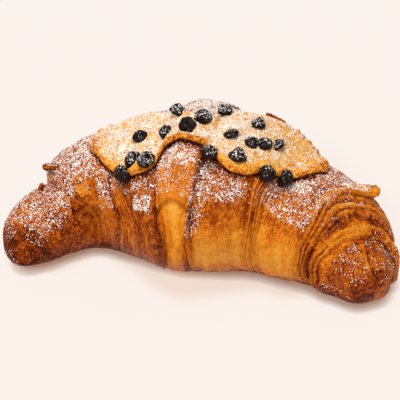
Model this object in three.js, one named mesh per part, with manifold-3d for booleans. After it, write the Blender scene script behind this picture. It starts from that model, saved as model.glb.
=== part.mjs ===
// Chocolate almond croissant: a rolled crescent of laminated dough, a slab of baked almond paste in
// two lobes over its crown, and chocolate drops half sunk in the paste. Millimetres, +Z up, tips
// along X and turned towards -Y, standing on Z = 0 with the middle of its footprint at the origin.
import * as THREE from "three";
import { mergeVertices } from "three/addons/utils/BufferGeometryUtils.js";
import Module from "manifold-3d";

const wasm = await Module();
wasm.setup();

const { clamp, lerp, smoothstep, degToRad } = THREE.MathUtils;

// The crescent. A station is a distance along the spine from its middle, and an angle goes round
// the roll, in degrees: 0 on top, 90 in the hollow side, 180 underneath.
const leftArm = { length: 99, turn: 89, bend: 2, blunt: 9.5 };
const rightArm = { length: 91, turn: 60, bend: 1.66, blunt: 17 };
const halfWidths = [
  [-99, 12.5], [-88, 17.6], [-74, 20.6], [-62, 25.4], [-48, 33], [-34, 35.4], [-20, 39.4],
  [-6, 42.7], [10, 42.2], [26, 38.2], [42, 33], [58, 28], [74, 22.2], [84, 19.3], [91, 17.4],
];
const frontReach = [
  [-99, 0], [-85, -1.5], [-70, -5], [-60, -9.5], [-50, -14], [-44, -9.5], [-38, -5.5], [-30, -2],
  [-15, 1.5], [5, -0.7], [25, -6.5], [45, -2], [62, -6], [72, -2.5], [80, -6], [87, -5], [91, -2],
]; // how much further than round the hollow side reaches
const spineShare = 0.74; // height of the spine, as a share of the half width
const crownShare = 0.79; // from the spine up to the crown
const bellyShare = 0.81; // from the spine down: what would be under the tray is flattened
const backPower = [[60, 1], [78, 0.55], [91, 0.38]]; // the less, the squarer it is low at the back

// Where each wrap of dough ends, from the left tip to the right one. At five angles round the roll
// it has the station of the free edge, which faces the nearer tip, the width of the band in which
// its layers open into leaves, and the drop from its lip to the wrap beneath.
const ring = [-100, -25, 5, 40, 90];
const evenly = (value) => ring.map(() => value);
const folds = [
  {
    side: -1, leaves: 3, phase: 0.4,
    edge: [-62, -67.5, -67, -62.3, -50.5], band: [3, 1.5, 1.5, 6, 4], drop: [6, 7, 5.4, 4.6, 5.5],
  },
  {
    side: -1, leaves: 5, phase: 2.1,
    edge: [-40, -31, -31, -33.5, -21], band: [9, 10, 11, 11, 20], drop: evenly(3.6),
  },
  {
    side: -1, leaves: 1, phase: 4.4,
    edge: [-22, -16, -16, -19, -11], band: evenly(1.6), drop: evenly(2.6),
  },
  {
    side: 1, leaves: 1, phase: 1.3,
    edge: [9, 3, 2, -1, -0.5], band: evenly(1.6), drop: evenly(2.6),
  },
  {
    side: 1, leaves: 4, phase: 3.2,
    edge: [38, 31, 30, 27.5, 27.5], band: [8, 9, 8.5, 7, 4.5], drop: evenly(3.8),
  },
  {
    side: 1, leaves: 4, phase: 5.5,
    edge: [70, 60, 55.5, 59, 60], band: [6, 10, 11, 6, 3], drop: evenly(3.4),
  },
  {
    side: 1, leaves: 2, phase: 0.9,
    edge: [82, 73.5, 70, 68, 65.5], band: [3, 3, 3.5, 3.5, 4], drop: evenly(3.2),
  },
];
const lipReach = 17; // how far back from its free edge a wrap starts to rise
const lipRound = 3; // the edge rolls down over this length
const wander = 0.5; // how far an edge strays from its line

// The outermost wrap is a tongue between two of the folds. It ends in front, between two angles,
// over the next wrap, which swells out again towards the base.
const tongue = { left: 2, right: 3, from: 52.5, to: 60, drop: 2.4, swell: 2.6 };

// The right tip shows its inner roll behind a lengthwise edge that starts at a station.
const tipRoll = { from: 77, angle: 0, drop: 1.8, fade: 50 };

// Loose ends of dough that stand off the crust, each a flake that points away from its root.
const flaps = [
  { station: 60, angle: -26, toward: [0.98, 0.12, -0.16], length: 15, width: 3.6, thickness: 3.2 },
  { station: -67.5, angle: -24, toward: [-0.98, -0.15, 0], length: 6, width: 2.6, thickness: 2.8 },
  { station: -72, angle: -44, toward: [0.5, 0.25, 0.83], length: 7, width: 2.4, thickness: 1.8 },
  { station: -57.5, angle: 31, toward: [-0.75, -0.5, -0.42], length: 8, width: 6, thickness: 3.4 },
];
const flapRoot = 0.2; // share of its length that lies inside the crust
const flapBluntness = 0.7; // under 1, a flake is blunter than an ellipsoid

// The almond paste: its two ends, and how far it runs to the front and the back of the crown.
const pasteEnds = [-52.5, 50];
const pasteFront = [
  [-52.5, 15], [-47.5, 31], [-41, 35], [-34, 34], [-25, 31], [-20, 28], [-15.5, 18], [-10, 15],
  [-3.5, 16.5], [3.5, 19.5], [10.5, 27], [16, 31], [22, 30], [28, 23.5], [34, 18], [41.5, 9],
  [46, -3], [50, -18],
];
const pasteBack = [
  [-52.5, 2], [-46, -16], [-38, -26], [-28, -20], [-18, -13], [-11, -5.5], [-4, -3], [4, -7],
  [10, -16], [22, -24], [34, -34], [44, -36], [50, -28],
];
const pasteThickness = 6;
const pasteSkirt = 2; // height of its bulging rim over the crust
const pasteSeat = 2.5; // how deep it has settled into the crown
const pasteRoot = 6; // how far it is carried below the crust before it is trimmed to it
const pasteLumps = 0.7;

// Chocolate drops: where each sits, how deep it is sunk below the top of the paste, how far it
// leans and turns, and how large it is.
const dropRadius = 3.2;
const dropHeight = 4.6;
const dropProfile = [[0, 0], [0.86, 0], [1, 0.16], [0.86, 0.45], [0.45, 0.8], [0, 1]];
const dropSides = 10;
const drops = [
  { station: -14.5, angle: -5.5, sunk: 1.2, lean: 20, turn: 30, size: 1 },
  { station: -7.5, angle: 6.5, sunk: 1.6, lean: 50, turn: 260, size: 1.1 },
  { station: -2, angle: 0.5, sunk: 1.6, lean: 30, turn: 100, size: 1.05 },
  { station: -29.5, angle: 5, sunk: 2, lean: 15, turn: 200, size: 0.95 },
  { station: -17.5, angle: 8, sunk: 1.7, lean: 25, turn: 10, size: 1 },
  { station: -32, angle: 23, sunk: 1.6, lean: 35, turn: 300, size: 1 },
  { station: -24.5, angle: 27, sunk: 1.7, lean: 20, turn: 150, size: 0.95 },
  { station: -37.5, angle: 33, sunk: 2, lean: 40, turn: 220, size: 1.1 },
  { station: 4, angle: 23, sunk: 2.4, lean: 35, turn: 80, size: 1.1 },
  { station: 5.5, angle: -12, sunk: 2, lean: 20, turn: 320, size: 0.85 },
  { station: 20, angle: -11.5, sunk: 1.6, lean: 10, turn: 45, size: 0.85 },
  { station: 11, angle: 6, sunk: 2, lean: 25, turn: 120, size: 0.95 },
  { station: 20.5, angle: 5.5, sunk: 2, lean: 30, turn: 240, size: 0.85 },
  { station: 25.5, angle: 2, sunk: 1.8, lean: 15, turn: 10, size: 0.9 },
  { station: 30.5, angle: -5, sunk: 1.8, lean: 30, turn: 170, size: 0.9 },
  { station: 17, angle: 22, sunk: 1.6, lean: 20, turn: 60, size: 1.1 },
  { station: 31.5, angle: 21, sunk: 2, lean: 40, turn: 280, size: 1.1 },
  { station: 39.5, angle: 14, sunk: 2, lean: 35, turn: 200, size: 1.15 },
];

// How finely the meshes follow all this.
const leafRows = [0, 0.6]; // rows at these shares of each leaf
const rowStep = 4.4; // between rows elsewhere
const capRows = 9; // from the last fold to a tip
const crustColumns = 48;
const pasteRows = 34;
const pasteColumns = 24;
const flapSides = 8;
const flapRows = 6;
const gap = 0.3; // between two solids that touch

// A smooth curve through points, with no overshoot between them.
function smoothThrough(points, x) {
  const last = points.length - 1;
  const slope = (k) => (points[k + 1][1] - points[k][1]) / (points[k + 1][0] - points[k][0]);
  const tangent = (k) => {
    if (k === 0) return slope(0);
    if (k === last) return slope(last - 1);
    const [before, after] = [slope(k - 1), slope(k)];
    return before * after <= 0 ? 0 : (2 * before * after) / (before + after);
  };
  let k = 0;
  while (k < last - 1 && x > points[k + 1][0]) k += 1;
  const [[x0, y0], [x1, y1]] = [points[k], points[k + 1]];
  const width = x1 - x0;
  const t = clamp((x - x0) / width, 0, 1);
  const [t2, t3] = [t * t, t * t * t];
  return (
    (2 * t3 - 3 * t2 + 1) * y0 +
    (t3 - 2 * t2 + t) * width * tangent(k) +
    (3 * t2 - 2 * t3) * y1 +
    (t3 - t2) * width * tangent(k + 1)
  );
}

const signedPower = (value, power) => Math.sign(value) * Math.abs(value) ** power;

// The spine of one arm, summed up millimetre by millimetre: it turns faster near the tip.
function spineOf({ length, turn, bend }) {
  const points = [{ x: 0, y: 0, heading: 0 }];
  for (let mm = 1; mm <= length; mm += 1) {
    const before = points[mm - 1];
    const heading = degToRad(turn) * (mm / length) ** bend;
    const mean = (heading + before.heading) / 2;
    points.push({ x: before.x + Math.cos(mean), y: before.y - Math.sin(mean), heading });
  }
  return points;
}

const spines = { [-1]: spineOf(leftArm), [1]: spineOf(rightArm) };

function spineAt(station) {
  const side = station < 0 ? -1 : 1;
  const spine = spines[side];
  const along = Math.min(Math.abs(station), spine.length - 1);
  const from = spine[Math.floor(along)];
  const to = spine[Math.min(Math.floor(along) + 1, spine.length - 1)];
  const part = along % 1;
  return {
    x: side * lerp(from.x, to.x, part),
    y: lerp(from.y, to.y, part),
    heading: -side * lerp(from.heading, to.heading, part),
  };
}

// How much of the roll's width is left as a tip rounds off.
function tipClosing(station) {
  const { length, blunt } = station < 0 ? leftArm : rightArm;
  return Math.sqrt(Math.max(0, 1 - (Math.abs(station) / length) ** blunt));
}

// A value given at the angles of the ring, for any angle.
function ringValue(values, angle) {
  const last = ring.length - 1;
  const points = [[ring[last] - 360, values[last]]];
  ring.forEach((at, k) => points.push([at, values[k]]));
  points.push([ring[0] + 360, values[0]], [ring[1] + 360, values[1]]);
  return smoothThrough(points, angle < ring[0] ? angle + 360 : angle);
}

function edgeAt(fold, angle) {
  const turned = degToRad(angle);
  const stray = Math.sin(3 * turned + fold.phase) + 0.6 * Math.sin(7 * turned + 2 * fold.phase);
  return ringValue(fold.edge, angle) + wander * stray;
}

// Height that one fold adds: a domed lip, then a stair of leaves down to the next wrap, which
// swells out again.
function foldRelief(fold, station, angle) {
  const past = fold.side * (station - edgeAt(fold, angle));
  const half = ringValue(fold.drop, angle) / 2;
  if (past <= 0) {
    const rise = Math.sin((Math.PI / 2) * clamp(1 + past / lipReach, 0, 1));
    const roll = 0.4 * clamp(1 + past / lipRound, 0, 1) ** 2;
    return half * (rise - roll);
  }
  const band = ringValue(fold.band, angle);
  if (past < band) {
    const leaf = (past / band) * fold.leaves;
    const step = (Math.floor(leaf) + smoothstep(leaf % 1, 0.6, 1)) / fold.leaves;
    return lerp(0.6 * half, -1.2 * half, step);
  }
  return -1.2 * half * Math.exp((band - past) / (0.45 * lipReach));
}

// Under the end of the tongue, the height of the wrap that it uncovers replaces its own.
function tongueRelief(height, station, angle) {
  const left = edgeAt(folds[tongue.left], angle);
  const right = edgeAt(folds[tongue.right], angle);
  const across = (station - left) / (right - left);
  if (angle < 0 || across < 0 || across > 1) return height;
  const bulge = Math.sin(Math.PI * across) ** 0.7;
  const under = -tongue.drop * (1 - 0.5 * bulge);
  const foot = tongue.swell * bulge - 0.8;
  const pillow = lerp(under, foot, smoothstep(angle, 70, 110));
  return lerp(height, pillow, smoothstep(angle, tongue.from, tongue.to));
}

// Behind the lengthwise edge of the right tip.
function tipRollRelief(station, angle) {
  const behind = tipRoll.angle - angle;
  if (station < tipRoll.from || behind <= 0 || behind > 180) return 0;
  const started = smoothstep(station, tipRoll.from, tipRoll.from + 5);
  return -tipRoll.drop * started * Math.exp(-behind / tipRoll.fade);
}

// Where a station lies on the paste: how far the paste has closed there towards its rounded ends,
// and the angles of its front and back edges.
function pasteAt(station) {
  const [from, to] = pasteEnds;
  const along = clamp((2 * station - from - to) / (to - from), -1, 1);
  return {
    along,
    closing: Math.sqrt(1 - along ** 10),
    front: smoothThrough(pasteFront, station),
    back: smoothThrough(pasteBack, station),
  };
}

// How deep the crown is pressed in under the paste.
function seatDepth(station, angle) {
  const { along, closing, front, back } = pasteAt(station);
  const across = Math.abs(angle - (front + back) / 2) / Math.max(0.01, ((front - back) / 2) * closing);
  return pasteSeat * (1 - smoothstep(across, 0.5, 0.9)) * (1 - along ** 8);
}

// The whole relief of the crust over its smooth envelope.
function relief(station, angle) {
  const turned = degToRad(angle);
  let height = 0;
  for (const fold of folds) height += foldRelief(fold, station, angle);
  height = tongueRelief(height, station, angle) + tipRollRelief(station, angle);
  height += 0.5 * Math.sin(station / 5.3 + 2 * Math.sin(3 * turned)) * Math.sin(4 * turned + station / 9);
  const faded = 1 - smoothstep(Math.abs(angle), 130, 165);
  return height * faded * Math.min(1, 1.6 * tipClosing(station)) - seatDepth(station, angle);
}

// A point of the crust, or at a height over it.
function crustPoint(station, angle, lift = 0) {
  const { x, y, heading } = spineAt(station);
  const closing = tipClosing(station);
  const halfWidth = smoothThrough(halfWidths, station) * closing;
  const out = relief(station, angle) + lift * Math.min(1, 5 * closing);
  const power = angle < -90 ? smoothThrough(backPower, station) : 1;
  const sin = signedPower(Math.sin(degToRad(angle)), power);
  const cos = signedPower(Math.cos(degToRad(angle)), power);
  const reach = smoothThrough(frontReach, station) * closing * Math.max(0, sin);
  const across = -(halfWidth + out + reach) * sin;
  const tall = ((cos > 0 ? crownShare : bellyShare) * halfWidth + out) * cos;
  return new THREE.Vector3(
    x - Math.sin(heading) * across,
    y + Math.cos(heading) * across,
    Math.max(spineShare * smoothThrough(halfWidths, station) + tall, -Math.max(0, lift)),
  );
}

// The band of a fold at an angle, from its lower station to its higher one.
function bandSpan(fold, angle) {
  const near = edgeAt(fold, angle);
  const far = near + fold.side * ringValue(fold.band, angle);
  return [Math.min(near, far), Math.max(near, far)];
}

// Shares of a stretch at which rows lie, closer together towards its two ends.
function easedShares(count) {
  const shares = Array.from({ length: count }, (_, k) => k / count);
  return shares.map((share) => lerp(share, (1 - Math.cos(Math.PI * share)) / 2, 0.5));
}

// The stations of all rows at one angle: they follow the folds' edges, so that each step is crisp.
function rowStations(angle) {
  const rows = [];
  const [first] = bandSpan(folds[0], angle);
  for (let k = 0; k < capRows; k += 1) {
    rows.push(lerp(-leftArm.length, first, 1 - Math.cos((Math.PI / 2) * (k / capRows))));
  }
  folds.forEach((fold, place) => {
    const [from, to] = bandSpan(fold, angle);
    const leaves = Array.from({ length: fold.leaves }, (_, leaf) => leaf);
    const shares = leaves.flatMap((leaf) => leafRows.map((part) => (leaf + part) / fold.leaves));
    if (fold.side > 0) rows.push(...shares.map((share) => lerp(from, to, share)));
    else rows.push(...shares.reverse().map((share) => lerp(to, from, share)));
    if (place === folds.length - 1) return;
    const next = folds[place + 1];
    const typical = bandSpan(next, 0)[0] - bandSpan(fold, 0)[1];
    const count = Math.max(3, Math.round(typical / rowStep));
    rows.push(...easedShares(count).map((share) => lerp(to, bandSpan(next, angle)[0], share)));
  });
  const [, last] = bandSpan(folds[folds.length - 1], angle);
  for (let k = 0; k <= capRows; k += 1) {
    rows.push(lerp(last, rightArm.length, Math.sin((Math.PI / 2) * (k / capRows))));
  }
  return rows;
}

// A sphere whose rows and columns are moved to where the shape has them.
function shapedSphere(rows, columns, place) {
  const geometry = new THREE.SphereGeometry(1, columns, rows);
  const { position, uv } = geometry.attributes;
  for (let k = 0; k < position.count; k += 1) {
    const row = Math.round((1 - uv.getY(k)) * rows);
    const column = (k % (columns + 1)) % columns;
    const point = place(row, column);
    position.setXYZ(k, point.x, point.y, point.z);
  }
  return geometry;
}

// A closed solid from a geometry whose faces point outwards.
function solidOf(geometry) {
  const bare = geometry.clone();
  bare.deleteAttribute("normal");
  bare.deleteAttribute("uv");
  const merged = mergeVertices(bare, 1e-4);
  const mesh = new wasm.Mesh({
    numProp: 3,
    vertProperties: merged.attributes.position.array,
    triVerts: new Uint32Array(merged.index.array),
  });
  return new wasm.Manifold(mesh);
}

function geometryOf(solid) {
  const { vertProperties, triVerts } = solid.getMesh();
  const geometry = new THREE.BufferGeometry();
  geometry.setAttribute("position", new THREE.BufferAttribute(vertProperties, 3));
  geometry.setIndex(new THREE.BufferAttribute(triVerts, 1));
  geometry.computeVertexNormals();
  return geometry;
}

// The rolled dough, or the same with a little more all round it, for trimming what rests on it.
function rollSolid(lift = 0) {
  const step = 360 / crustColumns;
  const angles = Array.from({ length: crustColumns }, (_, column) => 180 - step * column);
  const stations = angles.map(rowStations);
  const rows = stations[0].length - 1;
  const place = (row, column) => crustPoint(stations[column][row], angles[column], lift);
  return solidOf(shapedSphere(rows, crustColumns, place));
}

const turnBetween = (from, to) => new THREE.Quaternion().setFromUnitVectors(from, to);

// A flake: a flattened, blunt ellipsoid that starts inside the crust and points away from it.
function flapSolid({ station, angle, toward, length, width, thickness }) {
  const geometry = new THREE.SphereGeometry(1, flapSides, flapRows);
  const { position } = geometry.attributes;
  const blunt = (value) => signedPower(value, flapBluntness);
  for (let k = 0; k < position.count; k += 1) {
    position.setXYZ(k, blunt(position.getX(k)), blunt(position.getY(k)), blunt(position.getZ(k)));
  }
  geometry.scale(width / 2, length / 2, thickness / 2);
  const direction = new THREE.Vector3(...toward).normalize();
  geometry.applyQuaternion(turnBetween(new THREE.Vector3(0, 1, 0), direction));
  const middle = crustPoint(station, angle).addScaledVector(direction, (0.5 - flapRoot) * length);
  geometry.translate(middle.x, middle.y, middle.z);
  return solidOf(geometry);
}

function pasteSolid() {
  const [from, to] = pasteEnds;
  return solidOf(
    shapedSphere(pasteRows, pasteColumns, (row, column) => {
      const station = lerp(from, to, (1 - Math.cos((Math.PI * row) / pasteRows)) / 2);
      const { closing, front, back } = pasteAt(station);
      const turn = (2 * Math.PI * column) / pasteColumns;
      const [cos, sin] = [Math.cos(turn), Math.sin(turn)];
      const across = signedPower(cos, 0.7) * closing;
      const lumps = pasteLumps * Math.sin(station / 3.7) * Math.sin(across * 4 + station / 8);
      const top = (pasteThickness - pasteSkirt + lumps) * Math.max(0, sin) ** 0.55 * closing;
      const bottom = pasteRoot * Math.max(0, -sin) ** 0.8 * closing;
      const angle = lerp(back, front, (1 + across) / 2);
      return crustPoint(station, angle, pasteSkirt * Math.min(1, 2 * closing) + top - bottom);
    }),
  );
}

// A drop, or the same with a little more all round it.
function dropSolid({ station, angle, sunk, lean, turn, size }, more = 0) {
  const outline = dropProfile.map(([radius, height]) => {
    const wider = radius > 0 ? more : 0;
    const taller = height < 0.1 ? -more : height > 0.7 ? more : 0;
    return new THREE.Vector2(
      radius * dropRadius * size + wider,
      height * dropHeight * size + taller,
    );
  });
  const geometry = new THREE.LatheGeometry(outline, dropSides);
  geometry.rotateX(Math.PI / 2);
  geometry.rotateY(degToRad(lean));
  geometry.rotateZ(degToRad(turn));
  const foot = crustPoint(station, angle, pasteThickness - sunk);
  const outward = foot.clone().sub(crustPoint(station, angle)).normalize();
  geometry.applyQuaternion(turnBetween(new THREE.Vector3(0, 0, 1), outward));
  geometry.translate(foot.x, foot.y, foot.z);
  return solidOf(geometry);
}

const crustLook = { color: 0xb5651d, roughness: 0.45, metalness: 0 };
const pasteLook = { color: 0xe2b671, roughness: 0.7, metalness: 0 };
const chocolateLook = { color: 0x2a1a15, roughness: 0.4, metalness: 0 };

const croissant = new THREE.Group();

function addPiece(name, solid, look) {
  const mesh = new THREE.Mesh(geometryOf(solid), new THREE.MeshStandardMaterial(look));
  mesh.name = name;
  croissant.add(mesh);
}

const clearOfCrust = rollSolid(gap);
let paste = pasteSolid().subtract(clearOfCrust);
for (const drop of drops) paste = paste.subtract(dropSolid(drop, gap));
let crust = rollSolid();
for (const flap of flaps) crust = crust.add(flapSolid(flap));

addPiece("croissant", crust, crustLook);
addPiece("almond_paste", paste, pasteLook);
drops.forEach((drop, k) => {
  const name = `chocolate_drop_${String(k + 1).padStart(2, "0")}`;
  addPiece(name, dropSolid(drop).subtract(clearOfCrust), chocolateLook);
});

// The origin goes to the middle of the footprint.
const box = new THREE.Box3().setFromObject(croissant);
const middle = box.getCenter(new THREE.Vector3()).setZ(box.min.z);
for (const mesh of croissant.children) mesh.position.sub(middle);

export default croissant;
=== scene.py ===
# Chocolate almond croissant: a rolled crescent of flaky dough, a slab of baked almond paste over its
# crown, chocolate drops in the paste and icing sugar over all of it.
import math
import random
from functools import lru_cache

import bmesh
import bpy
from mathutils import Matrix, Vector, noise


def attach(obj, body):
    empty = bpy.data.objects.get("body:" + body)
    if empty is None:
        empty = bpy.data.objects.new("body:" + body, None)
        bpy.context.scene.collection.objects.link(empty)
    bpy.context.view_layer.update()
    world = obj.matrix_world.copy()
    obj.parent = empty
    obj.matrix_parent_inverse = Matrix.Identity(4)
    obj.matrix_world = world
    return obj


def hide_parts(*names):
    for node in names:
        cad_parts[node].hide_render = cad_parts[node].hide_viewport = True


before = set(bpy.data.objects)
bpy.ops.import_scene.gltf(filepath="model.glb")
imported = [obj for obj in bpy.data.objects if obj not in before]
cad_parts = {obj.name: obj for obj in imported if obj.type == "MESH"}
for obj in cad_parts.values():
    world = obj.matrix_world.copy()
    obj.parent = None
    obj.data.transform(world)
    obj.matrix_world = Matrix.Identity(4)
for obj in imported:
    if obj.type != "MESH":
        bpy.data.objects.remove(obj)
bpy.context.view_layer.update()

mm = 0.001
footprint = Vector((0.066, 0.944, 0))  # where the spine's own origin lies in the part's frame, in mm

scene = bpy.context.scene
scene.view_settings.view_transform = "Standard"
scene.view_settings.look = "None"

cameraSet = {
    "target": (-1, -12, 33.5),  # mm, from the spine's origin
    "azimuth": 11.5,
    "elevation": 42,
    "distance": 560,
    "lens": 113.5,
}

lightSet = {
    "world": (1.0, 0.98, 0.96),
    "worldStrength": 0.25,
    "key": ((-0.1, -0.12, 1.0), 2.1, 20),  # where it comes from, its strength and its angle
    "fill": ((-0.2, -0.8, 0.9), 1.2, 20),
}


def addObject(name, data):
    made = bpy.data.objects.new(name, data)
    scene.collection.objects.link(made)
    return made


def addCamera():
    data = bpy.data.cameras.new("photoCamera")
    data.lens = cameraSet["lens"]
    data.sensor_width = 36
    data.clip_start = 0.01
    camera = addObject("photoCamera", data)
    turn = math.radians(cameraSet["azimuth"])
    rise = math.radians(cameraSet["elevation"])
    back = Vector((math.sin(turn) * math.cos(rise), -math.cos(turn) * math.cos(rise), math.sin(rise)))
    target = Vector(cameraSet["target"]) + footprint
    camera.location = (target + back * cameraSet["distance"]) * mm
    camera.rotation_euler = (-back).to_track_quat("-Z", "Y").to_euler()
    scene.camera = camera


def addSun(name, comesFrom, strength, angle):
    data = bpy.data.lights.new(name, "SUN")
    data.energy = strength
    data.angle = math.radians(angle)
    sun = addObject(name, data)
    sun.rotation_euler = Vector(comesFrom).to_track_quat("Z", "Y").to_euler()


def addLight():
    world = bpy.data.worlds.new("studio")
    world.use_nodes = True
    background = world.node_tree.nodes["Background"]
    background.inputs["Color"].default_value = (*lightSet["world"], 1)
    background.inputs["Strength"].default_value = lightSet["worldStrength"]
    scene.world = world
    addSun("key", *lightSet["key"])
    addSun("fill", *lightSet["fill"])


addCamera()
addLight()
print("camera and light")


def clamp(value, low=0.0, high=1.0):
    return max(low, min(high, value))


def lerp(a, b, share):
    return a + (b - a) * share


def smoothstep(value, low, high):
    share = clamp((value - low) / (high - low))
    return share * share * (3 - 2 * share)


def within(value, low, high, margin):  # 1 from low to high, fading to 0 over a margin outside
    return smoothstep(value, low - margin, low) * (1 - smoothstep(value, high, high + margin))


def signedPower(value, power):
    return math.copysign(abs(value) ** power, value)


def smoothThrough(points, x):  # a smooth curve through points, with no overshoot between them
    last = len(points) - 1

    def slope(k):
        return (points[k + 1][1] - points[k][1]) / (points[k + 1][0] - points[k][0])

    def tangent(k):
        if k == 0:
            return slope(0)
        if k == last:
            return slope(last - 1)
        before = slope(k - 1)
        after = slope(k)
        return 0 if before * after <= 0 else 2 * before * after / (before + after)

    k = 0
    while k < last - 1 and x > points[k + 1][0]:
        k += 1
    x0, y0 = points[k]
    x1, y1 = points[k + 1]
    width = x1 - x0
    t = clamp((x - x0) / width)
    t2 = t * t
    t3 = t2 * t
    return (
        (2 * t3 - 3 * t2 + 1) * y0
        + (t3 - 2 * t2 + t) * width * tangent(k)
        + (3 * t2 - 2 * t3) * y1
        + (t3 - t2) * width * tangent(k + 1)
    )


def addNode(tree, kind, **settings):  # the nodes stand in rows of six, in the order they are made
    place = len(tree.nodes)
    node = tree.nodes.new(kind)
    node.location = (220 * (place % 6), -320 * (place // 6))
    for name, value in settings.items():
        setattr(node, name, value)
    return node


def setInputs(node, **values):
    for name, value in values.items():
        node.inputs[name].default_value = value


def faceOutwards(bm):
    bmesh.ops.recalc_face_normals(bm, faces=bm.faces)
    if bm.calc_volume(signed=True) < 0:
        bmesh.ops.reverse_faces(bm, faces=bm.faces)
    bm.normal_update()


def objectFrom(bm, name, material):
    faceOutwards(bm)
    mesh = bpy.data.meshes.new(name)
    bm.to_mesh(mesh)
    bm.free()
    for polygon in mesh.polygons:
        polygon.use_smooth = True
    mesh.materials.append(material)
    return addObject(name, mesh)


# The crescent, with the same values as the part's source, in millimetres and degrees. A station is a
# place along its spine, from the left tip to the right one. An angle goes round it: 0 is the top, 90
# the hollow side, -90 the back.
dough = {
    "leftArm": {"length": 99, "turn": 89, "bend": 2, "blunt": 9.5},
    "rightArm": {"length": 91, "turn": 60, "bend": 1.66, "blunt": 17},
    "halfWidths": [
        (-99, 12.5), (-88, 17.6), (-74, 20.6), (-62, 25.4), (-48, 33), (-34, 35.4), (-20, 39.4),
        (-6, 42.7), (10, 42.2), (26, 38.2), (42, 33), (58, 28), (74, 22.2), (84, 19.3), (91, 17.4),
    ],
    "frontReach": [
        (-99, 0), (-85, -1.5), (-70, -5), (-60, -9.5), (-50, -14), (-44, -9.5), (-38, -5.5),
        (-30, -2), (-15, 1.5), (5, -0.7), (25, -6.5), (45, -2), (62, -6), (72, -2.5), (80, -6),
        (87, -5), (91, -2),
    ],
    "spineShare": 0.74,
    "crownShare": 0.79,
    "bellyShare": 0.81,
    "backPower": [(60, 1), (78, 0.55), (91, 0.38)],
    "ring": [-100, -25, 5, 40, 90],
    "lipReach": 17,
    "lipRound": 3,
    "wander": 0.5,
    "uneven": 0.5,
    "leafHump": (0.5, 1.3),  # how far the middle of a leaf stands up, on the left and on the right
    "singleHump": 0.3,  # how much of that is left where a fold has one leaf
    "leafFlat": 0.4,  # share of a leaf that lies flat before it drops to the next
}

# Each fold faces a tip (side). It has its edge, the width of its leafy band and its drop at the
# angles of the ring, as in the part's source; here the band opens into more leaves. Its grooves are
# darker with painted crease shade, its crests paler with a painted highlight (crest) and the dough
# beside it darker with painted shade (shade). One has a bright edge, from one angle to another.
foldNames = ["side", "leaves", "phase", "creaseShade", "crest", "shade", "edge", "band", "drop", "bright"]
foldValues = [
    [
        -1, 5, 0.4, 0.25, 0.16, 0.2,
        [-62, -67.5, -67, -62.3, -50.5], [3, 1.5, 1.5, 6, 4], [6, 7, 5.4, 4.6, 5.5],
    ],
    [-1, 8, 2.1, 0.1, 0.07, 0.3, [-40, -31, -31, -33.5, -21], [9, 10, 11, 11, 20], [3.6] * 5],
    [-1, 1, 4.4, 0.3, 0.06, 0.36, [-22, -16, -16, -19, -11], [1.6] * 5, [2.6] * 5],
    [1, 1, 1.3, 0.3, 0, 0.34, [9, 3, 2, -1, -0.5], [1.6] * 5, [2.6] * 5],
    [1, 5, 3.2, 0.35, 0.2, 0.2, [38, 31, 30, 27.5, 27.5], [8, 9, 8.5, 7, 4.5], [3.8] * 5, (30, 72)],
    [1, 4, 5.5, 0.5, 0.2, 0.4, [70, 60, 55.5, 59, 60], [6, 10, 11, 6, 3], [3.4] * 5],
    [1, 2, 0.9, 0.5, 0.2, 0.4, [82, 73.5, 70, 68, 65.5], [3, 3, 3.5, 3.5, 4], [3.2] * 5],
]
folds = [dict(zip(foldNames, values)) for values in foldValues]
tongue = {"left": 2, "right": 3, "from": 51, "to": 54, "arch": 8, "drop": 2.4, "swell": 2.6}
tipRoll = {"from": 77, "seam": [(77, -4), (80, -2), (85, 3), (88, 3), (90.5, -18)], "drop": 1.8, "fade": 50}


def spineOf(arm):
    points = [(0.0, 0.0, 0.0)]
    for step in range(1, arm["length"] + 1):
        x, y, before = points[-1]
        heading = math.radians(arm["turn"]) * (step / arm["length"]) ** arm["bend"]
        mean = (heading + before) / 2
        points.append((x + math.cos(mean), y - math.sin(mean), heading))
    return points


spines = {-1: spineOf(dough["leftArm"]), 1: spineOf(dough["rightArm"])}


def spineAt(station):
    side = -1 if station < 0 else 1
    spine = spines[side]
    along = min(abs(station), len(spine) - 1)
    below = spine[int(along)]
    above = spine[min(int(along) + 1, len(spine) - 1)]
    x, y, heading = (lerp(a, b, along % 1) for a, b in zip(below, above))
    return side * x, y, -side * heading


def tipClosing(station):  # how much of the roll's width is left as a tip rounds off
    arm = dough["leftArm"] if station < 0 else dough["rightArm"]
    return math.sqrt(max(0, 1 - (abs(station) / arm["length"]) ** arm["blunt"]))


def ringValue(values, angle):  # a value given at the angles of the ring, for any angle
    ring = dough["ring"]
    points = [(ring[-1] - 360, values[-1])]
    points += list(zip(ring, values))
    points += [(ring[0] + 360, values[0]), (ring[1] + 360, values[1])]
    return smoothThrough(points, angle + 360 if angle < ring[0] else angle)


@lru_cache(maxsize=None)
def foldsAt(angle):  # what each fold is at one angle: side, edge, band, half its drop, leaf ends
    turned = math.radians(angle)
    found = []
    for fold in folds:
        phase = fold["phase"]
        stray = math.sin(3 * turned + phase) + 0.6 * math.sin(7 * turned + 2 * phase)
        edge = ringValue(fold["edge"], angle) + dough["wander"] * stray
        count = fold["leaves"]
        ends = [0.0]
        for leaf in range(1, count):
            uneven = 0.3 * math.sin(5.7 * leaf + 3 * phase)
            drift = 0.22 * math.sin((2 + leaf % 3) * turned + 2.3 * leaf + phase)
            ends.append((leaf + uneven + drift) / count)
        ends.append(1.0)
        band, drop = (ringValue(fold[name], angle) for name in ("band", "drop"))
        found.append((fold["side"], edge, band, drop / 2, ends))
    return found


def leafAt(ends, share):  # which leaf, and how far through it
    k = 0
    while k < len(ends) - 2 and share > ends[k + 1]:
        k += 1
    return k, clamp((share - ends[k]) / (ends[k + 1] - ends[k]))


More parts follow.
